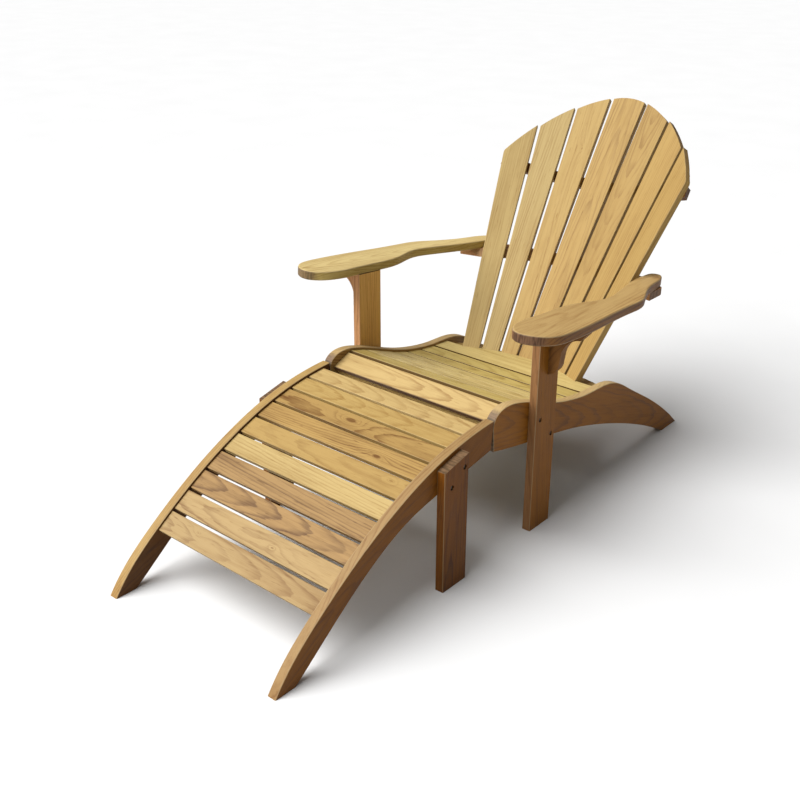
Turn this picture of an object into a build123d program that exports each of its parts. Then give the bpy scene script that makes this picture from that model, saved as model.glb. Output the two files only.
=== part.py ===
from build123d import *
from math import cos, degrees, radians, sin, tan
import os

os.makedirs("parts", exist_ok=True)

# An adirondack chair in teak with its free-standing footrest, in millimetres.
# +Z is up and the sitter faces -Y, so the sitter's left is +X. The origin is on the ground
# under the middle of the set. Every Y below is measured from the front end of the chair's
# side rails, and the sketch planes carry it to its place.

SEAT_FRONT_Y = -143.2        # front end of the chair's side rails
RAIL_OUTER = 270.0           # half of the width over the side rails
RAIL_THICK = 24.0
RAIL_INNER = RAIL_OUTER - RAIL_THICK
LEG_THICK = 23.0
LEG_WIDTH = 84.0
LEG_OUTER = RAIL_OUTER + LEG_THICK
EDGE_ROUND = 2.5             # rounding of the boards' edges

# Slats of the seat and of the footrest, which lie between the side rails
SLAT_LENGTH = 2 * RAIL_INNER
SLAT_THICK = 12.0
SLAT_ROUND = 1.5
SLAT_RECESS = 7.0            # how far the slats lie below the tops of the rails
SEAT_SLATS = 6
SEAT_SLAT_WIDTH = 54.0
SEAT_SLAT_PITCH = 60.2
SEAT_SLAT_START = 4.5        # from the rear of the front board to the first slat
FOOT_SLATS = 10
FOOT_SLAT_WIDTH = 53.0
FOOT_SLAT_PITCH = 60.5
FOOT_SLAT_START = 22.0       # from the high end of the footrest's rails to the first slat

# Arms
ARM_THICK = 23.0
ARM_ROUND = 3.5
ARM_SLOPE = radians(4.87)    # the arms fall towards the back
LEG_FRONT = 135.0            # front edge of the chair's legs
ARM_HEIGHT = 543.0           # underside of the arms at the legs' front edge

# The back: flat slats laid round the inside of a cone, so that they fan out and hollow
BACK_APEX = Vector(0, SEAT_FRONT_Y - 101.5, -661)
BACK_LEAN = radians(34.45)   # lean of the middle slat, from upright
CONE_HALF_ANGLE = radians(19.94)
SLAT_TURN = 8.5              # degrees round the cone from one slat to the next
MIDDLE_TURN = 9.15           # the same, on each side of the wider middle slat
BACK_SIDE_SLATS = 3
BACK_SLAT_THICK = 18.0
BACK_SLAT_ROUND = 1.8
OUTER_SLAT_CORNER = 20.0     # rounding of the outermost slats' upper corners
BACK_GAP = 8.5
MIDDLE_SLAT_FOOT = 59.5      # width of the middle slat at its lower end
MIDDLE_SLAT_TAPER = 0.046    # how much wider it grows for each millimetre of height
BACK_BOTTOM = 1062.0         # lower end of the slats, measured from the apex
BACK_CROWN = 1906.5          # top of the middle slat, measured from the apex
ARCH_DROP = 205.0            # how much lower the arch of the tops is at its ends
ARCH_TURN = 30.0             # degrees round the cone from the crown to the arch's ends
ARCH_POWER = 1.7             # 2 would make the arch a parabola; less makes its crown sharper

SIDES = (("left", 1), ("right", -1))


def side_plane(x):
    """Plane that faces +X at x: its own X runs backwards along the set and its own Y is up."""
    return Plane(origin=(x, SEAT_FRONT_Y, 0), x_dir=(0, 1, 0), z_dir=(1, 0, 0))


def level_plane(z):
    """Level plane at height z."""
    return Plane(origin=(0, SEAT_FRONT_Y, z))


def leg_top(y):
    """Height of the arms' underside above y."""
    return ARM_HEIGHT - (y - LEG_FRONT) * tan(ARM_SLOPE)


# ------------------------------------------------------------------------ side rails
# Outlines of the rails, as seen from their left side: distance backwards, height
CHAIR_LIP = [(-5, 328), (-1, 346), (13, 360), (45, 368)]
SEAT_CREST = [(100, 359.5), (180, 332.5), (264, 302), (344, 282.5), (417, 273), (500, 268.5)]
CHAIR_TAIL = [(556, 254), (631, 212), (760, 134), (899, 35)]
CHAIR_UNDERSIDE = [(852, 0), (777, 40), (652, 96.5), (484, 158.5), (331, 202), (132, 240), (0, 268.5)]
FOOT_CREST = [
    (-705.5, 0), (-664, 51), (-573, 127.5), (-453, 208), (-327, 273.5), (-197, 321), (-58, 346.5), (-6, 350),
]
FOOT_UNDERSIDE = [(-13, 278), (-120, 259.5), (-216, 243), (-299, 223.5), (-395, 181), (-519, 99), (-648, 0)]

CHAIR_BOLTS = [(153, 302), (204, 248)]
FOOT_BOLTS = [(-139.5, 296), (-184, 262.5)]
SHANK_RADIUS = 3.0
HEAD_RADIUS = 6.0
HEAD_THICK = 3.0
HEAD_CHAMFER = 0.8
HEAD_SINK = 3.5              # how far the heads lie below the leg's face
BOLT_REACH = 18.0            # how far the bolts run into the rail
HOLE_END = 1.0               # how much deeper than the bolts their holes are
CLEARANCE = 0.25


def bolt_space(places, sign):
    """The room for a leg's two bolts: their holes, with a sink for each head."""
    with BuildPart() as space:
        with BuildSketch(side_plane(sign * (RAIL_OUTER - BOLT_REACH - HOLE_END))):
            with Locations(*places):
                Circle(SHANK_RADIUS + CLEARANCE)
        extrude(amount=sign * (BOLT_REACH + HOLE_END + LEG_THICK))
        with BuildSketch(side_plane(sign * (LEG_OUTER - HEAD_SINK - HEAD_THICK))):
            with Locations(*places):
                Circle(HEAD_RADIUS + CLEARANCE)
        extrude(amount=sign * (HEAD_SINK + HEAD_THICK))
    return space.part


for side, sign in SIDES:
    chair_bolt_space = bolt_space(CHAIR_BOLTS, sign)
    foot_bolt_space = bolt_space(FOOT_BOLTS, sign)

    with BuildPart() as chair_rail:
        with BuildSketch(side_plane(sign * RAIL_INNER)):
            with BuildLine():
                Line(CHAIR_UNDERSIDE[-1], CHAIR_LIP[0])
                Spline(*CHAIR_LIP, *SEAT_CREST, *CHAIR_TAIL)
                Polyline(CHAIR_TAIL[-1], (939, 0), CHAIR_UNDERSIDE[0])
                Spline(*CHAIR_UNDERSIDE)
            make_face()
        extrude(amount=sign * RAIL_THICK)
        fillet(chair_rail.faces().filter_by(Axis.X).edges().filter_by(GeomType.BSPLINE), radius=EDGE_ROUND)
        add(chair_bolt_space, mode=Mode.SUBTRACT)
    chair_rail.part.label = f"chair_rail_{side}"
    export_step(chair_rail.part, f"parts/chair_rail_{side}.step")

    with BuildPart() as foot_rail:
        with BuildSketch(side_plane(sign * RAIL_INNER)):
            with BuildLine():
                Spline(*FOOT_CREST)
                Line(FOOT_CREST[-1], FOOT_UNDERSIDE[0])
                Spline(*FOOT_UNDERSIDE)
                Line(FOOT_UNDERSIDE[-1], FOOT_CREST[0])
            make_face()
        extrude(amount=sign * RAIL_THICK)
        fillet(foot_rail.faces().filter_by(Axis.X).edges().filter_by(GeomType.BSPLINE), radius=EDGE_ROUND)
        add(foot_bolt_space, mode=Mode.SUBTRACT)
    foot_rail.part.label = f"footrest_rail_{side}"
    export_step(foot_rail.part, f"parts/footrest_rail_{side}.step")

# ------------------------------------------------------------------------ legs
FOOT_LEG_FRONT = -209.5
FOOT_LEG_TOP = (306.5, 326.5)        # height at the front edge and at the rear edge


def leg_outline(front, front_height, rear_height):
    """Side view of an upright leg with a sloping top."""
    return [
        (front, 0),
        (front + LEG_WIDTH, 0),
        (front + LEG_WIDTH, rear_height),
        (front, front_height),
    ]


CHAIR_LEG = leg_outline(LEG_FRONT, ARM_HEIGHT, leg_top(LEG_FRONT + LEG_WIDTH))
FOOT_LEG = leg_outline(FOOT_LEG_FRONT, *FOOT_LEG_TOP)

LEGS = (("chair_leg", CHAIR_LEG, CHAIR_BOLTS), ("footrest_leg", FOOT_LEG, FOOT_BOLTS))

for side, sign in SIDES:
    for name, outline, bolts in LEGS:
        leg_bolt_space = bolt_space(bolts, sign)
        with BuildPart() as leg:
            with BuildSketch(side_plane(sign * RAIL_OUTER)):
                Polygon(*outline, align=None)
            extrude(amount=sign * LEG_THICK)
            fillet(leg.edges().filter_by(Axis.Z), radius=EDGE_ROUND)
            add(leg_bolt_space, mode=Mode.SUBTRACT)
        leg.part.label = f"{name}_{side}"
        export_step(leg.part, f"parts/{name}_{side}.step")

# ------------------------------------------------------------------------ bolts in the legs
for name, places in (("chair_bolts", CHAIR_BOLTS), ("footrest_bolts", FOOT_BOLTS)):
    with BuildPart() as bolts:
        for side, sign in SIDES:
            with BuildSketch(side_plane(sign * (LEG_OUTER - HEAD_SINK - HEAD_THICK))):
                with Locations(*places):
                    Circle(HEAD_RADIUS)
            extrude(amount=sign * HEAD_THICK)
            with BuildSketch(side_plane(sign * (RAIL_OUTER - BOLT_REACH))):
                with Locations(*places):
                    Circle(SHANK_RADIUS)
            extrude(amount=sign * (BOLT_REACH + LEG_THICK - HEAD_SINK - HEAD_THICK))
        head_rims = bolts.edges().filter_by(GeomType.CIRCLE).group_by(Axis.X)
        chamfer(head_rims[0] + head_rims[-1], length=HEAD_CHAMFER)
    bolts.part.label = name
    export_step(bolts.part, f"parts/{name}.step")

# ------------------------------------------------------------------------ arms
arm_underside = Plane(
    origin=(0, SEAT_FRONT_Y + LEG_FRONT, ARM_HEIGHT),
    x_dir=(1, 0, 0),
    z_dir=(0, sin(ARM_SLOPE), cos(ARM_SLOPE)),
)
# Outline of the left arm: distance to the left, distance backwards
ARM_OUTLINE = [
    (270.5, 110), (270.5, 200), (274, 285), (288, 337), (301.5, 395), (292, 465), (272, 545),
    (255, 630), (251, 690), (257, 716), (272, 722), (292, 702), (309, 635), (325, 570),
    (347, 516), (366, 470), (374, 395), (383, 285), (393, 180), (396, 95), (388, 38),
    (361, 6), (320, -4), (291, 18), (274, 62),
]

for side, sign in SIDES:
    arm_outline = [(sign * x, (y - LEG_FRONT) / cos(ARM_SLOPE)) for x, y in ARM_OUTLINE]
    with BuildPart() as arm:
        with BuildSketch(arm_underside):
            with BuildLine():
                Spline(*arm_outline, periodic=True)
            make_face()
        extrude(amount=ARM_THICK)
        fillet(arm.faces().filter_by(arm_underside).edges(), radius=ARM_ROUND)
    arm.part.label = f"arm_{side}"
    export_step(arm.part, f"parts/arm_{side}.step")

# ------------------------------------------------------------------------ brackets under the arms
BRACKET_THICK = 23.0
BRACKET_OUT = 96.0
BRACKET_FOOT = 414.0
BRACKET_BACK = 48.0         # from the leg's front edge to the middle of the bracket

for side, sign in SIDES:
    bracket_plane = Plane(
        origin=(sign * LEG_OUTER, SEAT_FRONT_Y + LEG_FRONT + BRACKET_BACK, 0),
        x_dir=(sign, 0, 0),
        z_dir=(0, -sign, 0),
    )
    with BuildPart() as arm_bracket:
        with BuildSketch(bracket_plane):
            with BuildLine():
                Polyline((0, BRACKET_FOOT), (0, 550), (BRACKET_OUT, 550), (BRACKET_OUT, 536), (81, 519))
                ThreePointArc((81, 519), (52, 506), (33, 475))
                Line((33, 475), (29, 449))
                ThreePointArc((29, 449), (19, 425), (0, BRACKET_FOOT))
            make_face()
        extrude(amount=BRACKET_THICK / 2, both=True)
        split(bisect_by=arm_underside, keep=Keep.BOTTOM)
    arm_bracket.part.label = f"arm_bracket_{side}"
    export_step(arm_bracket.part, f"parts/arm_bracket_{side}.step")


# ------------------------------------------------------------------------ slats of seat and footrest
def slat_line(points):
    """Curve of the slats' top faces, which is the top of the rails less the recess."""
    return Spline(*[Vector(0, SEAT_FRONT_Y + y, z - SLAT_RECESS) for y, z in points], mode=Mode.PRIVATE)


def board_plane(curve, distance):
    """Plane of the top of a board that lies across the rails, at a distance along a curve."""
    point = curve.position_at(distance, position_mode=PositionMode.LENGTH)
    along = curve.tangent_at(distance, position_mode=PositionMode.LENGTH)
    upward = Vector(1, 0, 0).cross(along)
    if upward.Z < 0:
        upward = -upward
    return Plane(origin=point, x_dir=(1, 0, 0), z_dir=upward)


def export_slat(name, plane, width):
    """Make and write one plain slat, with its long edges rounded."""
    with BuildPart() as slat:
        with BuildSketch(plane):
            Rectangle(SLAT_LENGTH, width)
        extrude(amount=-SLAT_THICK)
        fillet(slat.edges().filter_by(Axis.X), radius=SLAT_ROUND)
    slat.part.label = name
    export_step(slat.part, f"parts/{name}.step")


FRONT_BOARD_REAR = (70, 366)
seat_line = slat_line([FRONT_BOARD_REAR, *SEAT_CREST])
for number in range(SEAT_SLATS):
    slat_middle = SEAT_SLAT_START + SEAT_SLAT_WIDTH / 2 + number * SEAT_SLAT_PITCH
    export_slat(f"seat_slat_{number + 1}", board_plane(seat_line, slat_middle), SEAT_SLAT_WIDTH)

foot_line = slat_line(reversed(FOOT_CREST))
for number in range(FOOT_SLATS):
    slat_middle = FOOT_SLAT_START + FOOT_SLAT_WIDTH / 2 + number * FOOT_SLAT_PITCH
    export_slat(f"footrest_slat_{number + 1:02}", board_plane(foot_line, slat_middle), FOOT_SLAT_WIDTH)

# ------------------------------------------------------------------------ front board and cross rails
FRONT_BOARD_SLOPE = radians(23)
FRONT_BOARD_WIDTH = 59.0
FRONT_BOARD_THICK = 12.0
front_board_top = Plane(
    origin=(0, SEAT_FRONT_Y + 11, 334),
    x_dir=(1, 0, 0),
    z_dir=(0, -sin(FRONT_BOARD_SLOPE), cos(FRONT_BOARD_SLOPE)),
)
with BuildPart() as front_board:
    with BuildSketch(front_board_top):
        Rectangle(SLAT_LENGTH, FRONT_BOARD_WIDTH, align=(Align.CENTER, Align.MIN))
    extrude(amount=-FRONT_BOARD_THICK)
    fillet(front_board.edges().filter_by(Axis.X), radius=EDGE_ROUND)
front_board.part.label = "seat_front_board"
export_step(front_board.part, "parts/seat_front_board.step")

APRON_FRONT = 24.0
APRON_BOTTOM = 272.0
APRON_WIDTH = 78.0           # before its top is cut to the slope of the front board
APRON_THICK = 20.0
with BuildPart() as apron:
    with BuildSketch(side_plane(0)):
        with Locations((APRON_FRONT, APRON_BOTTOM)):
            Rectangle(APRON_THICK, APRON_WIDTH, align=(Align.MIN, Align.MIN))
    extrude(amount=RAIL_INNER, both=True)
    split(bisect_by=front_board_top.offset(-FRONT_BOARD_THICK), keep=Keep.BOTTOM)
apron.part.label = "front_apron"
export_step(apron.part, "parts/front_apron.step")

CROSS_RAIL_MIDDLE = (-170, 275)
CROSS_RAIL_THICK = 20.0
CROSS_RAIL_WIDTH = 50.0
with BuildPart() as foot_cross_rail:
    with BuildSketch(side_plane(0)):
        with Locations(CROSS_RAIL_MIDDLE):
            Rectangle(CROSS_RAIL_THICK, CROSS_RAIL_WIDTH)
    extrude(amount=RAIL_INNER, both=True)
    fillet(foot_cross_rail.edges().filter_by(Axis.X), radius=SLAT_ROUND)
foot_cross_rail.part.label = "footrest_cross_rail"
export_step(foot_cross_rail.part, "parts/footrest_cross_rail.step")

# ------------------------------------------------------------------------ slats of the back
AXIS_LEAN = BACK_LEAN - CONE_HALF_ANGLE
cone_axis = Vector(0, sin(AXIS_LEAN), cos(AXIS_LEAN))
cone_rear = Vector(0, cos(AXIS_LEAN), -sin(AXIS_LEAN))


def slat_turn(index):
    """Degrees round the cone from the middle slat to another one."""
    if index == 0:
        return 0.0
    turn = MIDDLE_TURN + (abs(index) - 1) * SLAT_TURN
    return turn if index > 0 else -turn


def back_plane(index):
    """Plane of a back slat's front face: origin at the apex, its own Y up along the slat."""
    turn = radians(slat_turn(index))
    outward = Vector(1, 0, 0) * sin(turn) + cone_rear * cos(turn)
    across = Vector(1, 0, 0) * cos(turn) - cone_rear * sin(turn)
    upward = cone_axis * cos(CONE_HALF_ANGLE) + outward * sin(CONE_HALF_ANGLE)
    return Plane(origin=BACK_APEX, x_dir=across, z_dir=across.cross(upward))


def half_width(index, height):
    """Half of a back slat's width at a height along it: the slats taper towards the apex."""
    if index == 0:
        return (MIDDLE_SLAT_FOOT + MIDDLE_SLAT_TAPER * (height - BACK_BOTTOM)) / 2
    return (height * sin(CONE_HALF_ANGLE) * radians(SLAT_TURN) - BACK_GAP) / 2


def arch(turn):
    """Height along the slats of the arch of their tops."""
    return BACK_CROWN - ARCH_DROP * abs(turn / ARCH_TURN) ** ARCH_POWER


back_indices = range(-BACK_SIDE_SLATS, BACK_SIDE_SLATS + 1)
half_turn = degrees(half_width(0, BACK_CROWN) / (BACK_CROWN * sin(CONE_HALF_ANGLE)))
for index in back_indices:
    top_left = arch(slat_turn(index) - half_turn)
    top_right = arch(slat_turn(index) + half_turn)
    with BuildPart() as back_slat:
        with BuildSketch(back_plane(index)) as slat_face:
            with BuildLine():
                Polyline(
                    (-half_width(index, top_left), top_left),
                    (-half_width(index, BACK_BOTTOM), BACK_BOTTOM),
                    (half_width(index, BACK_BOTTOM), BACK_BOTTOM),
                    (half_width(index, top_right), top_right),
                )
                ThreePointArc(
                    (half_width(index, top_right), top_right),
                    (0, arch(slat_turn(index))),
                    (-half_width(index, top_left), top_left),
                )
            make_face()
            if abs(index) == BACK_SIDE_SLATS:
                outer_corner = slat_face.vertices().sort_by(Axis.X)[0 if index < 0 else -1]
                fillet(outer_corner, radius=OUTER_SLAT_CORNER)
        extrude(amount=-BACK_SLAT_THICK)
        long_edges = back_slat.edges().filter_by(GeomType.LINE).sort_by(SortBy.LENGTH)[-4:]
        fillet(long_edges, radius=BACK_SLAT_ROUND)
    back_slat.part.label = f"back_slat_{index + BACK_SIDE_SLATS + 1}"
    export_step(back_slat.part, f"parts/{back_slat.part.label}.step")


# ------------------------------------------------------------------------ what the back slats bear on
BEYOND = 2000.0              # more than any dimension of the chair


def hollow(depth):
    """Everything in front of the back, to a depth behind the slats' front faces."""
    with BuildPart() as space:
        with BuildSketch(level_plane(0)):
            Rectangle(BEYOND, BEYOND)
        extrude(amount=BEYOND)
        for index in back_indices:
            split(bisect_by=back_plane(index).offset(-depth), keep=Keep.TOP)
    return space.part


# Where the rear ends of the arms lie on the rail under them, as one block on each side
ARM_END_X = 300.0
ARM_END_Y = 500.0            # measured from the legs' front edge, along the arms
ARM_END_WIDTH = 100.0
ARM_END_LENGTH = 400.0
with BuildPart() as arm_space:
    with BuildSketch(arm_underside):
        with Locations((ARM_END_X, ARM_END_Y), (-ARM_END_X, ARM_END_Y)):
            Rectangle(ARM_END_WIDTH, ARM_END_LENGTH)
    extrude(amount=ARM_THICK)


def curved_rail(name, plane, half_length, ends, middle, thick, corner=0):
    """Make and write a rail that curves behind the back slats and is cut to fit them.

    The ends and the middle are each given by their front and their rear.
    """
    end_front, end_rear = ends
    middle_front, middle_rear = middle
    in_front = hollow(BACK_SLAT_THICK)
    with BuildPart() as rail:
        with BuildSketch(plane) as outline:
            with BuildLine():
                Line((-half_length, end_rear), (-half_length, end_front))
                ThreePointArc((-half_length, end_front), (0, middle_front), (half_length, end_front))
                Line((half_length, end_front), (half_length, end_rear))
                ThreePointArc((half_length, end_rear), (0, middle_rear), (-half_length, end_rear))
            make_face()
            if corner:
                fillet(outline.vertices().group_by(Axis.Y)[-1], radius=corner)
        extrude(amount=thick)
        add(in_front, mode=Mode.SUBTRACT)
        add(arm_space.part, mode=Mode.SUBTRACT)
    rail.part.label = name
    export_step(rail.part, f"parts/{name}.step")


curved_rail(
    "lower_back_rail",
    level_plane(218),
    half_length=RAIL_INNER,
    ends=(460, 532),
    middle=(476, 572),
    thick=22,
)
curved_rail(
    "arm_support_rail",
    level_plane(479),
    half_length=309,
    ends=(613, 690),
    middle=(651, 738),
    thick=24,
    corner=30,
)
TOP_RAIL_HEIGHT = 1633.0     # along the middle slat, from the apex
along_middle_slat = back_plane(0).y_dir
curved_rail(
    "top_back_rail",
    Plane(origin=BACK_APEX + along_middle_slat * TOP_RAIL_HEIGHT, x_dir=(1, 0, 0), z_dir=along_middle_slat),
    half_length=294,
    ends=(-62, -35),
    middle=(-32, 41),
    thick=29,
)

# ------------------------------------------------------------------------ rear board of the seat
REAR_BOARD_FRONT = 421.5
REAR_BOARD_TOP = 266.0       # height of its top at the front edge
REAR_BOARD_ENDS = 58.0       # depth of the board beside the back slats
REAR_BOARD_REACH = 150.0     # more than its depth at the middle, where it meets the back slats
REAR_BOARD_NECK = 190.0      # half of the width that the back slats take up
REAR_BOARD_THICK = 18.0
REAR_BOARD_SLOPE = radians(4)
END_LENGTH = RAIL_INNER - REAR_BOARD_NECK
seat_space = hollow(0)
rear_board_top = Plane(
    origin=(0, SEAT_FRONT_Y + REAR_BOARD_FRONT, REAR_BOARD_TOP),
    x_dir=(1, 0, 0),
    z_dir=(0, sin(REAR_BOARD_SLOPE), cos(REAR_BOARD_SLOPE)),
)
with BuildPart() as rear_board:
    with BuildSketch(rear_board_top):
        Rectangle(2 * REAR_BOARD_NECK, REAR_BOARD_REACH, align=(Align.CENTER, Align.MIN))
    extrude(amount=-REAR_BOARD_THICK)
    add(seat_space, mode=Mode.INTERSECT)
    with BuildSketch(rear_board_top):
        with Locations((REAR_BOARD_NECK + END_LENGTH / 2, 0), (-REAR_BOARD_NECK - END_LENGTH / 2, 0)):
            Rectangle(END_LENGTH, REAR_BOARD_ENDS, align=(Align.CENTER, Align.MIN))
    extrude(amount=-REAR_BOARD_THICK)
rear_board.part.label = "seat_rear_board"
export_step(rear_board.part, "parts/seat_rear_board.step")
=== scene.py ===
import bpy
import random
from math import cos, radians, sin
from mathutils import Matrix, Vector


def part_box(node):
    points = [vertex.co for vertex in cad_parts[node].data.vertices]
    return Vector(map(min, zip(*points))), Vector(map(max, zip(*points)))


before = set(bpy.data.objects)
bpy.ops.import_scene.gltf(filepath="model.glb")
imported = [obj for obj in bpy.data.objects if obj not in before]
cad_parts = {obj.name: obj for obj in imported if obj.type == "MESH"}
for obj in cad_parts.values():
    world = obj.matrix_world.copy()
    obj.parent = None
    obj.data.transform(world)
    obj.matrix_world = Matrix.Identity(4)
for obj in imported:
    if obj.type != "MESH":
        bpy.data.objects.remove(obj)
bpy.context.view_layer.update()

scene = bpy.context.scene

# ---------------------------------------------------------------- colours of the teak
# Colours are sRGB, as (plain wood, dark growth lines).
PALE = ((0.68, 0.58, 0.38), (0.55, 0.43, 0.25))
GOLD = ((0.66, 0.55, 0.33), (0.51, 0.38, 0.18))
STRAW = ((0.66, 0.57, 0.37), (0.54, 0.43, 0.24))
HONEY = ((0.61, 0.50, 0.29), (0.50, 0.38, 0.19))
OLIVE = ((0.69, 0.61, 0.36), (0.52, 0.42, 0.19))
TAN = ((0.61, 0.49, 0.28), (0.39, 0.26, 0.11))
SAND = ((0.61, 0.51, 0.34), (0.45, 0.33, 0.18))
CREAM = ((0.74, 0.66, 0.43), (0.57, 0.47, 0.25))
AMBER = ((0.84, 0.67, 0.38), (0.66, 0.48, 0.24))
ROSE = ((0.57, 0.45, 0.28), (0.36, 0.25, 0.13))
PINK = ((0.76, 0.56, 0.37), (0.58, 0.40, 0.24))
# BROWN, RUSSET, WALNUT and UMBER are painted shade: dark colours for the sides of legs, rails, arms and
# brackets that face away from the light. Their lit tops and fronts get lighter colours further down.
BROWN = ((0.52, 0.325, 0.06), (0.40, 0.235, 0.035))
RUSSET = ((0.475, 0.29, 0.05), (0.36, 0.205, 0.03))
WALNUT = ((0.48, 0.32, 0.14), (0.32, 0.19, 0.07))
UMBER = ((0.43, 0.25, 0.03), (0.27, 0.14, 0.01))
# SHADED is painted shade for the edges of the seat boards in the narrow gaps between them.
SHADED = ((0.36, 0.27, 0.12), (0.26, 0.18, 0.07))
WORN = (0.62, 0.55, 0.42)
# Light and dark stripes of the boards' ends
END_GRAIN = ((0.39, 0.29, 0.22), (0.21, 0.145, 0.12))

TONES = {
    "footrest_slat_01": PALE,
    "footrest_slat_02": GOLD,
    "footrest_slat_03": TAN,
    "footrest_slat_04": TAN,
    "footrest_slat_05": HONEY,
    "footrest_slat_06": STRAW,
    "footrest_slat_07": ROSE,
    "footrest_slat_08": ROSE,
    "footrest_slat_09": SAND,
    "footrest_slat_10": SAND,
    # painted shade on the near footrest rail's sides
    "footrest_rail_left": RUSSET,
    "seat_front_board": PALE,
    "seat_slat_2": CREAM,
    "seat_slat_3": CREAM,
    "seat_slat_4": CREAM,
    "seat_rear_board": CREAM,
    "back_slat_1": STRAW,
    "back_slat_2": STRAW,
    "back_slat_3": GOLD,
    # painted shade: the top back rail sits behind the back slats and is seen in their shade
    "top_back_rail": UMBER,
    # painted shade on the near arm's sides
    "arm_left": WALNUT,
    "arm_right": OLIVE,
    "arm_bracket_right": PINK,
    # painted light: the far leg is lighter than the near leg, whose BROWN is painted shade
    "chair_leg_right": AMBER,
    "chair_rail_right": TAN,
}
# Colours of the boards that TONES leaves out, by the start of their names
GROUP_TONES = (
    ("seat_slat", OLIVE),
    ("back_slat", HONEY),
    ("arm_bracket", WALNUT),
    ("arm_support", PINK),
    # painted shade: the legs, rails and near brackets get dark colours for their shaded sides
    ("chair_leg", BROWN),
    ("footrest_leg", UMBER),
    ("chair_rail", BROWN),
    ("footrest_rail", BROWN),
)

UP = (0, 0, 1)
FORWARD = (0, -1, 0)
LEFT = (1, 0, 0)
FRONT_EDGE = (0, -0.92, -0.39)      # square to the slope of the seat's front board
# Painted light and shade: faces that look towards the light get lighter colours, and faces that look away
# from it or into narrow gaps get darker ones: the start of the boards' names, the way that the face
# looks, and its colours
LIT_AND_SHADED_FACES = (
    ("arm_left", UP, ((0.64, 0.53, 0.34), (0.51, 0.38, 0.21))),
    ("arm_right", UP, ((0.74, 0.66, 0.45), (0.60, 0.49, 0.29))),
    ("chair_leg_right", FORWARD, PINK),
    ("chair_leg_left", FORWARD, ((0.56, 0.40, 0.25), (0.41, 0.28, 0.16))),
    ("footrest_leg", UP, ((0.56, 0.45, 0.25), (0.45, 0.33, 0.15))),
    ("chair_rail", UP, ((0.68, 0.58, 0.40), (0.56, 0.45, 0.29))),
    ("chair_rail", FORWARD, ((0.70, 0.62, 0.48), (0.58, 0.49, 0.36))),
    # painted shade in the narrow gaps between the seat boards, and on the front board's edge above the
    # footrest
    ("seat_slat", FORWARD, SHADED),
    ("seat_rear_board", FORWARD, SHADED),
    ("seat_front_board", FRONT_EDGE, ((0.38, 0.26, 0.15), (0.26, 0.17, 0.09))),
    ("footrest_rail_left", UP, ((0.56, 0.45, 0.29), (0.46, 0.33, 0.18))),
    # painted shade on the far footrest rail's inner face
    ("footrest_rail_right", LEFT, ((0.36, 0.22, 0.06), (0.25, 0.14, 0.03))),
    ("footrest_rail_right", UP, ((0.62, 0.51, 0.31), (0.51, 0.38, 0.20))),
)

# Boards with a knot: place along the board from its middle, place across it, and size, in metres
KNOTS = {
    "footrest_slat_03": (-0.02, 0.004, 0.020),
    "footrest_slat_04": (0.12, -0.006, 0.016),
    "footrest_slat_05": (0.20, 0.010, 0.012),
    "footrest_slat_09": (0.06, -0.004, 0.010),
    "footrest_slat_10": (-0.14, 0.010, 0.009),
    "back_slat_3": (0.22, 0.012, 0.010),
}
NO_KNOT = (0.0, 0.0, 0.0)


def linear(colour):
    """sRGB to the linear RGBA that sockets take."""
    return tuple(c / 12.92 if c <= 0.04045 else ((c + 0.055) / 1.055) ** 2.4 for c in colour) + (1.0,)


def board_tone(name):
    """The colours of one board."""
    if name in TONES:
        return TONES[name]
    for start, tone in GROUP_TONES:
        if name.startswith(start):
            return tone
    return GOLD


def lit_and_shaded_faces(name):
    """The faces of this board that get painted light or painted shade."""
    return [(direction, tone) for start, direction, tone in LIT_AND_SHADED_FACES if name.startswith(start)]


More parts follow.
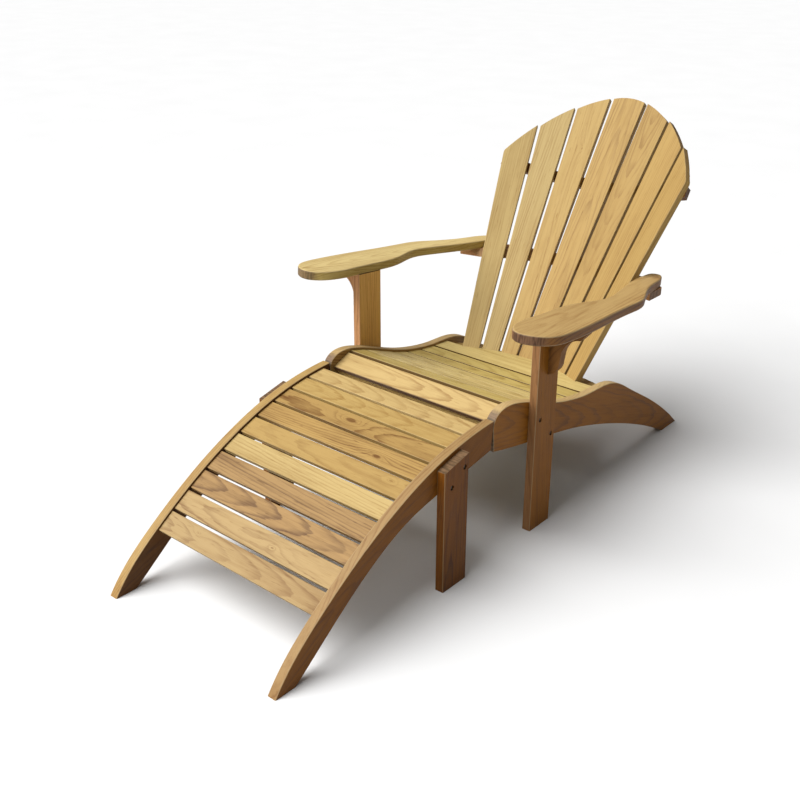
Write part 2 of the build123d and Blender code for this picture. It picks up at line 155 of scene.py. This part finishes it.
# ---------------------------------------------------------------- helpers for node trees
class Tree:
    """A node tree with short ways to add nodes."""

    def __init__(self, tree):
        self.nodes = tree.nodes
        self.links = tree.links

    def add(self, kind, settings=None, **inputs):
        """A node of this kind. An input is a constant or another node's output.

        Inputs go by their names, or by their numbers as _0, _1 and so on.
        """
        node = self.nodes.new(kind)
        for key, value in (settings or {}).items():
            setattr(node, key, value)
        for key, value in inputs.items():
            numbered = key[0] == "_" and key[1:].isdigit()
            socket = node.inputs[int(key[1:])] if numbered else node.inputs[key]
            if isinstance(value, bpy.types.NodeSocket):
                self.links.new(value, socket)
            else:
                socket.default_value = value
        return node

    def math(self, operation, a, b=0.0):
        """One operation on one or two values."""
        return self.add("ShaderNodeMath", {"operation": operation}, _0=a, _1=b).outputs[0]

    def length(self, a, b):
        """The long side of a right triangle with the sides a and b."""
        squares = self.math("ADD", self.math("MULTIPLY", a, a), self.math("MULTIPLY", b, b))
        return self.math("SQRT", squares)

    def inverse(self, value):
        """1 less the value."""
        return self.math("SUBTRACT", 1.0, value)

    def centred(self, noise):
        """Noise round zero."""
        return self.math("SUBTRACT", noise, 0.5)

    def mix(self, blend, factor, a, b):
        """Mix two colours."""
        settings = {"data_type": "RGBA", "blend_type": blend}
        return self.add("ShaderNodeMix", settings, _0=factor, _6=a, _7=b).outputs[2]

    def scaled(self, vector, scale):
        """A vector with each of its axes scaled."""
        return self.add("ShaderNodeMapping", None, Vector=vector, Scale=scale).outputs[0]

    def noise(self, vector, kind):
        """Noise of a kind: its scale, its detail and how much longer than wide its spots are."""
        scale, detail, stretch = kind
        along = self.scaled(vector, (1 / stretch, 1, 1))
        return self.add("ShaderNodeTexNoise", None, Vector=along, Scale=scale, Detail=detail).outputs[0]

    def facing(self, normal, direction):
        """1 where a face looks along the direction, 0 at right angles to it, -1 where it looks away."""
        node = self.add("ShaderNodeVectorMath", {"operation": "DOT_PRODUCT"}, _0=normal, _1=direction)
        return node.outputs["Value"]

    def ramp(self, value, span):
        """Value spread smoothly from low..high to 0..1."""
        low, high = span
        settings = {"interpolation_type": "SMOOTHSTEP"}
        return self.add("ShaderNodeMapRange", settings, Value=value, _1=low, _2=high).outputs[0]


# ---------------------------------------------------------------- the wood
# Lengths are in metres. A noise is its scale, its detail and how much longer than wide its spots
# are. A span is the low and the high end of a ramp.
RING = 0.0062                       # distance between growth rings
WANDER_NOISE = (9, 2, 6)            # slow bends of the rings
WANDER_REACH = 0.030
RIPPLE_NOISE = (80, 3, 6)           # small waves of the rings
RIPPLE_REACH = 0.0050
KNOT_STRETCH = 0.42                 # a knot is narrower across the board than along it
KNOT_CORE = 0.004
KNOT_PUSH = 0.9                     # how far a knot pushes the rings, as a share of its size
KNOT_LIMIT = 2.4
HEART_SPAN = (1.5, KNOT_LIMIT)
LATE_WOOD_START = (0.45, 0.93)      # within one ring, from 0 to 1
LATE_WOOD_END = (0.94, 1.0)
YEAR_SCALE = 60.0                   # some years' rings are fainter than others
YEAR_SPAN = (0.25, 0.75)
FIBRE_NOISE = (520, 3, 30)
STREAK_NOISE = (90, 3, 22)
CLOUD_NOISE = (11, 2, 4)
CLOUD_SPAN = (0.35, 0.75)
PORE_NOISE = (900, 1, 34)
PORE_SPAN = (0.30, 0.42)
FLECK_NOISE = (260, 1, 9)
FLECK_SPAN = (0.24, 0.34)
WARM_NOISE = (5, 2, 3)
WARM_SPAN = (0.35, 0.70)
WARM_TINT = (1.0, 0.94, 0.88, 1.0)
WARM_SHARE = 0.3
# How much each mark darkens the wood
MARK_WEIGHTS = {
    "late wood": 0.75,
    "streaks": 1.3,
    "fibres": 0.55,
    "clouds": 0.28,
    "pores": 0.22,
    "flecks": 0.45,
    "heart of the knot": 0.9,
}
ROUGHNESS = 0.50
FIBRE_ROUGHNESS = 0.14
LATE_WOOD_POLISH = 0.08
FIBRE_HEIGHT = 0.5
PORE_DEPTH = 0.5
LATE_WOOD_HEIGHT = 0.25

TEAK_INPUTS = {
    "Vector": "NodeSocketVector",
    "Plain": "NodeSocketColor",
    "Dark": "NodeSocketColor",
    "Pith Y": "NodeSocketFloat",
    "Pith Z": "NodeSocketFloat",
    "Lean": "NodeSocketFloat",
    "Knot X": "NodeSocketFloat",
    "Knot Y": "NodeSocketFloat",
    "Knot Size": "NodeSocketFloat",
    "Seed": "NodeSocketFloat",
}
TEAK_OUTPUTS = {"Color": "NodeSocketColor", "Roughness": "NodeSocketFloat", "Height": "NodeSocketFloat"}


def pith_distance(t, start, place):
    """Distance from the pith, which leans and wanders, so that the rings meet the face as arches."""
    xyz = t.add("ShaderNodeSeparateXYZ", None, Vector=start["Vector"]).outputs
    wander = t.math("MULTIPLY", t.centred(t.noise(place, WANDER_NOISE)), WANDER_REACH)
    across = t.math("ADD", t.math("SUBTRACT", xyz[1], start["Pith Y"]), wander)
    lean = t.math("MULTIPLY", xyz[0], start["Lean"])
    through = t.math("SUBTRACT", t.math("SUBTRACT", xyz[2], start["Pith Z"]), lean)
    ripple = t.math("MULTIPLY", t.centred(t.noise(place, RIPPLE_NOISE)), RIPPLE_REACH)
    return t.math("ADD", t.length(across, through), ripple)


def knot_nearness(t, start):
    """How near a point is to the board's knot, from 0 far away."""
    xyz = t.add("ShaderNodeSeparateXYZ", None, Vector=start["Vector"]).outputs
    along = t.math("MULTIPLY", t.math("SUBTRACT", xyz[0], start["Knot X"]), KNOT_STRETCH)
    across = t.math("SUBTRACT", xyz[1], start["Knot Y"])
    distance = t.math("ADD", t.length(along, across), KNOT_CORE)
    return t.math("MINIMUM", t.math("DIVIDE", start["Knot Size"], distance), KNOT_LIMIT)


def late_wood(t, start, radius):
    """1 on the dark outer part of each growth ring."""
    ring = t.math("FRACT", t.math("DIVIDE", radius, RING))
    late = t.math("MULTIPLY", t.ramp(ring, LATE_WOOD_START), t.inverse(t.ramp(ring, LATE_WOOD_END)))
    year = t.math("MULTIPLY", radius, YEAR_SCALE)
    year_place = t.add("ShaderNodeCombineXYZ", None, X=year, Y=start["Seed"]).outputs[0]
    return t.math("MULTIPLY", late, t.ramp(t.noise(year_place, (1.0, 1, 1)), YEAR_SPAN))


def teak_group():
    """Wood with growth rings round a leaning pith, fibres, pores and slow colour change."""
    group = bpy.data.node_groups.new("teak", "ShaderNodeTree")
    for name, kind in TEAK_INPUTS.items():
        group.interface.new_socket(name, in_out="INPUT", socket_type=kind)
    for name, kind in TEAK_OUTPUTS.items():
        group.interface.new_socket(name, in_out="OUTPUT", socket_type=kind)
    t = Tree(group)
    start = t.add("NodeGroupInput").outputs
    end = t.add("NodeGroupOutput")

    seed = t.add("ShaderNodeCombineXYZ", None, X=start["Seed"], Y=start["Seed"], Z=0.0).outputs[0]
    place = t.add("ShaderNodeVectorMath", {"operation": "ADD"}, _0=start["Vector"], _1=seed).outputs[0]

    nearness = knot_nearness(t, start)
    push = t.math("MULTIPLY", nearness, t.math("MULTIPLY", start["Knot Size"], KNOT_PUSH))
    late = late_wood(t, start, t.math("ADD", pith_distance(t, start, place), push))
    fibres = t.noise(place, FIBRE_NOISE)
    pores = t.inverse(t.ramp(t.noise(place, PORE_NOISE), PORE_SPAN))
    marks = {
        "late wood": late,
        "streaks": t.centred(t.noise(place, STREAK_NOISE)),
        "fibres": t.centred(fibres),
        "clouds": t.ramp(t.noise(place, CLOUD_NOISE), CLOUD_SPAN),
        "pores": pores,
        "flecks": t.inverse(t.ramp(t.noise(place, FLECK_NOISE), FLECK_SPAN)),
        "heart of the knot": t.ramp(nearness, HEART_SPAN),
    }
    shade = 0.0
    for name, mark in marks.items():
        shade = t.math("ADD", shade, t.math("MULTIPLY", mark, MARK_WEIGHTS[name]))
    darkness = t.add("ShaderNodeClamp", None, _0=shade).outputs[0]
    colour = t.mix("MIX", darkness, start["Plain"], start["Dark"])
    warm = t.math("MULTIPLY", t.ramp(t.noise(place, WARM_NOISE), WARM_SPAN), WARM_SHARE)
    t.links.new(t.mix("MULTIPLY", warm, colour, WARM_TINT), end.inputs["Color"])

    rough = t.math("ADD", ROUGHNESS, t.math("MULTIPLY", fibres, FIBRE_ROUGHNESS))
    rough = t.math("SUBTRACT", rough, t.math("MULTIPLY", late, LATE_WOOD_POLISH))
    t.links.new(rough, end.inputs["Roughness"])
    height = t.math("MULTIPLY", fibres, FIBRE_HEIGHT)
    height = t.math("SUBTRACT", height, t.math("MULTIPLY", pores, PORE_DEPTH))
    height = t.math("ADD", height, t.math("MULTIPLY", late, LATE_WOOD_HEIGHT))
    t.links.new(height, end.inputs["Height"])
    return group


# ---------------------------------------------------------------- one board
AXIS_START = Vector((0.3, 0.5, 0.8))        # any direction that isn't square to the board
AXIS_STEPS = 60


def board_frame(obj):
    """Turn and move from the object's space to the board's own: X along it, Z through its thickness."""
    points = [v.co.copy() for v in obj.data.vertices]
    centre = sum(points, Vector()) / len(points)
    spread = Matrix(((0,) * 3,) * 3)
    for p in points:
        d = p - centre
        for i in range(3):
            for j in range(3):
                spread[i][j] += d[i] * d[j]
    axes = []
    for _ in range(2):
        axis = AXIS_START.copy()
        for _ in range(AXIS_STEPS):
            for known in axes:
                axis -= known * axis.dot(known)
            axis = (spread @ axis).normalized()
        axes.append(axis)
    long, wide = axes
    turn = Matrix((long, wide, long.cross(wide)))
    return turn, -(turn @ centre)


# The painted light and shade of a face goes from none to full over this span.
LIGHT_FACING_SPAN = (0.25, 0.75)       # how squarely a face looks along its direction
END_SPAN = (0.50, 0.85)             # how squarely a face looks along the board
END_SHARE = 0.8
STRIPE_SCALE = 190.0
STRIPE_STRETCH = (0.3, 1.0, 0.15)
STRIPE_SPAN = (0.38, 0.62)
WEAR_SPAN = (0.06, 0.22)
WEAR_SHARE = 0.4
FLAT_SAWN_SHARE = 0.6               # of the boards
FLAT_SAWN_PITH = (-0.015, 0.015)    # how far to the side of the board its pith lies
OTHER_PITH = (0.05, 0.11)
PITH_DEPTH = (0.03, 0.08)           # how far behind the board its pith lies
PITH_LEAN = (0.03, 0.09)
TONE_CHANGE = (0.97, 1.03)
BUMP_STRENGTH = 0.35
BUMP_DISTANCE = 0.0006
GLOSS = 0.2
MOST_SEED = 40                      # largest shift between two boards' noises


def wear_mask(t, normal, through):
    """Strongest on the rounded long edges, which face neither through the board nor across it."""
    flat = t.math("ABSOLUTE", t.facing(normal, through))
    return t.math("MULTIPLY", t.ramp(t.math("MULTIPLY", flat, t.inverse(flat)), WEAR_SPAN), WEAR_SHARE)


def end_mask(t, normal, along):
    """Strongest on the board's sawn ends."""
    return t.math("MULTIPLY", t.ramp(t.math("ABSOLUTE", t.facing(normal, along)), END_SPAN), END_SHARE)


def end_grain(t, inside):
    """The colour of a sawn end: thin light and dark stripes."""
    stretched = t.scaled(inside, STRIPE_STRETCH)
    noise = t.add("ShaderNodeTexNoise", None, Vector=stretched, Scale=STRIPE_SCALE, Detail=2.0).outputs[0]
    light, dark = END_GRAIN
    return t.mix("MIX", t.ramp(noise, STRIPE_SPAN), linear(light), linear(dark))


def colour_faces(t, name, normal, plain, dark, wood):
    """Give the board its colours, and paint light and shade on the faces that look towards the light or
    away from it.
    """
    painted_light = []
    for direction, tone in lit_and_shaded_faces(name):
        painted_light.append((t.ramp(t.facing(normal, direction), LIGHT_FACING_SPAN), tone))
    for index, (socket, colour) in enumerate((("Plain", plain), ("Dark", dark))):
        wood.inputs[socket].default_value = linear(colour)
        mixed = linear(colour)
        # painted light and shade, mixed in face by face
        for lit_or_shaded, tone in painted_light:
            mixed = t.mix("MIX", lit_or_shaded, mixed, linear(tone[index]))
            t.links.new(mixed, wood.inputs[socket])


def cut_from_tree(wood, name, rng):
    """Choose the piece of the tree that the board was cut from."""
    pith_side = FLAT_SAWN_PITH if rng.random() < FLAT_SAWN_SHARE else OTHER_PITH
    wood.inputs["Pith Y"].default_value = rng.uniform(*pith_side)
    wood.inputs["Pith Z"].default_value = -rng.uniform(*PITH_DEPTH)
    wood.inputs["Lean"].default_value = rng.choice((-1, 1)) * rng.uniform(*PITH_LEAN)
    for socket, value in zip(("Knot X", "Knot Y", "Knot Size"), KNOTS.get(name, NO_KNOT)):
        wood.inputs[socket].default_value = value
    wood.inputs["Seed"].default_value = rng.uniform(0, MOST_SEED)


def teak_material(name, obj, group, rng):
    """The teak of one board, with its own piece of the tree."""
    material = bpy.data.materials.new(f"teak_{name}")
    material.use_nodes = True
    t = Tree(material.node_tree)
    shader = t.nodes["Principled BSDF"]
    turn, move = board_frame(obj)
    along, _, through = turn
    plain, dark = board_tone(name)
    value = rng.uniform(*TONE_CHANGE)
    plain = tuple(min(1.0, c * value) for c in plain)

    coordinates = t.add("ShaderNodeTexCoord").outputs
    where = coordinates["Object"]
    normal = coordinates["Normal"]
    to_board = t.add("ShaderNodeMapping", None, Vector=where, Location=move, Rotation=turn.to_euler())
    inside = to_board.outputs[0]
    wood = t.add("ShaderNodeGroup", {"node_tree": group}, Vector=inside)
    colour_faces(t, name, normal, plain, dark, wood)
    cut_from_tree(wood, name, rng)

    colour = t.mix("MIX", wear_mask(t, normal, through), wood.outputs["Color"], linear(WORN))
    colour = t.mix("MIX", end_mask(t, normal, along), colour, end_grain(t, inside))
    t.links.new(colour, shader.inputs["Base Color"])
    t.links.new(wood.outputs["Roughness"], shader.inputs["Roughness"])
    height = wood.outputs["Height"]
    bump = t.add("ShaderNodeBump", None, Strength=BUMP_STRENGTH, Distance=BUMP_DISTANCE, Height=height)
    t.links.new(bump.outputs[0], shader.inputs["Normal"])
    shader.inputs["Specular IOR Level"].default_value = GLOSS
    return material


# ---------------------------------------------------------------- the bolts
STEEL = (0.16, 0.14, 0.12, 1.0)
TARNISH = (0.07, 0.05, 0.04, 1.0)
TARNISH_NOISE = 700.0
TARNISH_SPAN = (0.4, 0.7)
STEEL_ROUGHNESS = 0.35
TARNISH_ROUGHNESS = 0.3             # more of it where the steel is tarnished
STEEL_METALLIC = 0.9
STEEL_BUMP = 0.3
STEEL_BUMP_DISTANCE = 0.0003


def steel_material():
    """Dull steel of the bolts, with dark tarnished spots."""
    material = bpy.data.materials.new("bolt_steel")
    material.use_nodes = True
    t = Tree(material.node_tree)
    shader = t.nodes["Principled BSDF"]
    where = t.add("ShaderNodeTexCoord").outputs["Object"]
    spots = t.add("ShaderNodeTexNoise", None, Vector=where, Scale=TARNISH_NOISE, Detail=3.0).outputs[0]
    tarnish = t.ramp(spots, TARNISH_SPAN)
    t.links.new(t.mix("MIX", tarnish, STEEL, TARNISH), shader.inputs["Base Color"])
    rough = t.math("ADD", STEEL_ROUGHNESS, t.math("MULTIPLY", tarnish, TARNISH_ROUGHNESS))
    t.links.new(rough, shader.inputs["Roughness"])
    bump = t.add("ShaderNodeBump", None, Strength=STEEL_BUMP, Distance=STEEL_BUMP_DISTANCE, Height=spots)
    t.links.new(bump.outputs[0], shader.inputs["Normal"])
    shader.inputs["Metallic"].default_value = STEEL_METALLIC
    return material


# ---------------------------------------------------------------- every piece gets its material
FIRST_SEED = 7


def paint(obj, material):
    """Give the whole object one material."""
    for slot in obj.material_slots:
        slot.link = "OBJECT"
        slot.material = material


teak = teak_group()
steel = steel_material()
for number, name in enumerate(sorted(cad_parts)):
    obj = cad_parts[name]
    if "bolts" in name:
        paint(obj, steel)
    else:
        paint(obj, teak_material(name, obj, teak, random.Random(number + FIRST_SEED)))

# ---------------------------------------------------------------- floor
FLOOR_SIZE = 60.0
FLOOR_DARK = (0.60, 0.60, 0.60, 1)
FLOOR_LIGHT = (0.64, 0.64, 0.64, 1)
FLOOR_SPOTS = 3.0
FLOOR_ROUGHNESS = 0.9
FLOOR_GLOSS = 0.1


def floor_material():
    """Plain pale paint, a little uneven."""
    material = bpy.data.materials.new("pale_floor")
    material.use_nodes = True
    t = Tree(material.node_tree)
    shader = t.nodes["Principled BSDF"]
    where = t.add("ShaderNodeTexCoord").outputs["Object"]
    spots = t.add("ShaderNodeTexNoise", None, Vector=where, Scale=FLOOR_SPOTS).outputs[0]
    t.links.new(t.mix("MIX", spots, FLOOR_DARK, FLOOR_LIGHT), shader.inputs["Base Color"])
    shader.inputs["Roughness"].default_value = FLOOR_ROUGHNESS
    shader.inputs["Specular IOR Level"].default_value = FLOOR_GLOSS
    return material


bpy.ops.mesh.primitive_plane_add(size=FLOOR_SIZE, location=(0, 0, 0))
floor = bpy.context.object
floor.name = "floor"
floor.data.materials.append(floor_material())

# ---------------------------------------------------------------- camera
LENS = 48.6
SENSOR = 36.0
AZIMUTH = radians(40.60)            # from straight ahead of the chair towards its left
ELEVATION = radians(25.16)
ROLL = radians(0.11)
CAMERA_LEFT = 1.5376
CAMERA_AHEAD = 1.8113               # of the front end of the chair's side rails
CAMERA_HEIGHT = 1.4346
LIP = 0.005                         # how far the rails' rounded lips reach ahead of their front ends

rail_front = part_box("chair_rail_left")[0][1] + LIP
camera_data = bpy.data.cameras.new("camera")
camera_data.lens = LENS
camera_data.sensor_width = SENSOR
camera_data.clip_end = 100.0
camera = bpy.data.objects.new("camera", camera_data)
scene.collection.objects.link(camera)
backward = Vector((sin(AZIMUTH) * cos(ELEVATION), -cos(AZIMUTH) * cos(ELEVATION), sin(ELEVATION)))
right = Vector((cos(AZIMUTH), sin(AZIMUTH), 0))
up = backward.cross(right)
rolled_right = right * cos(ROLL) + up * sin(ROLL)
rolled_up = backward.cross(rolled_right)
camera_turn = Matrix((rolled_right, rolled_up, backward)).transposed().to_4x4()
camera_place = Matrix.Translation((CAMERA_LEFT, rail_front - CAMERA_AHEAD, CAMERA_HEIGHT))
camera.matrix_world = camera_place @ camera_turn
scene.camera = camera

# ---------------------------------------------------------------- light
KEY_FROM = Vector((-0.42, -0.55, 1.0))
KEY_STRENGTH = 5.4
KEY_WIDTH = radians(60)
FRONT_FROM = Vector((-0.3, -1.0, 0.45))
FRONT_POWER = 60
FRONT_SIZE = 2.5
FRONT_DISTANCE = 5.0
CHAIR_MIDDLE = Vector((0, 0, 0.35))
WORLD_STRENGTH = 0.20


def add_light(name, kind, towards):
    """A light that shines from a direction."""
    light = bpy.data.objects.new(name, bpy.data.lights.new(name, kind))
    light.rotation_euler = towards.to_track_quat("Z", "Y").to_euler()
    scene.collection.objects.link(light)
    return light


key = add_light("key", "SUN", KEY_FROM)
key.data.energy = KEY_STRENGTH
key.data.angle = KEY_WIDTH

front = add_light("front", "AREA", FRONT_FROM)
front.data.size = FRONT_SIZE
front.data.energy = FRONT_POWER
front.location = CHAIR_MIDDLE + FRONT_FROM.normalized() * FRONT_DISTANCE

world = bpy.data.worlds.new("studio")
world.use_nodes = True
background = world.node_tree.nodes["Background"]
background.inputs["Color"].default_value = (1, 1, 1, 1)
background.inputs["Strength"].default_value = WORLD_STRENGTH
scene.world = world
scene.view_settings.view_transform = "Standard"
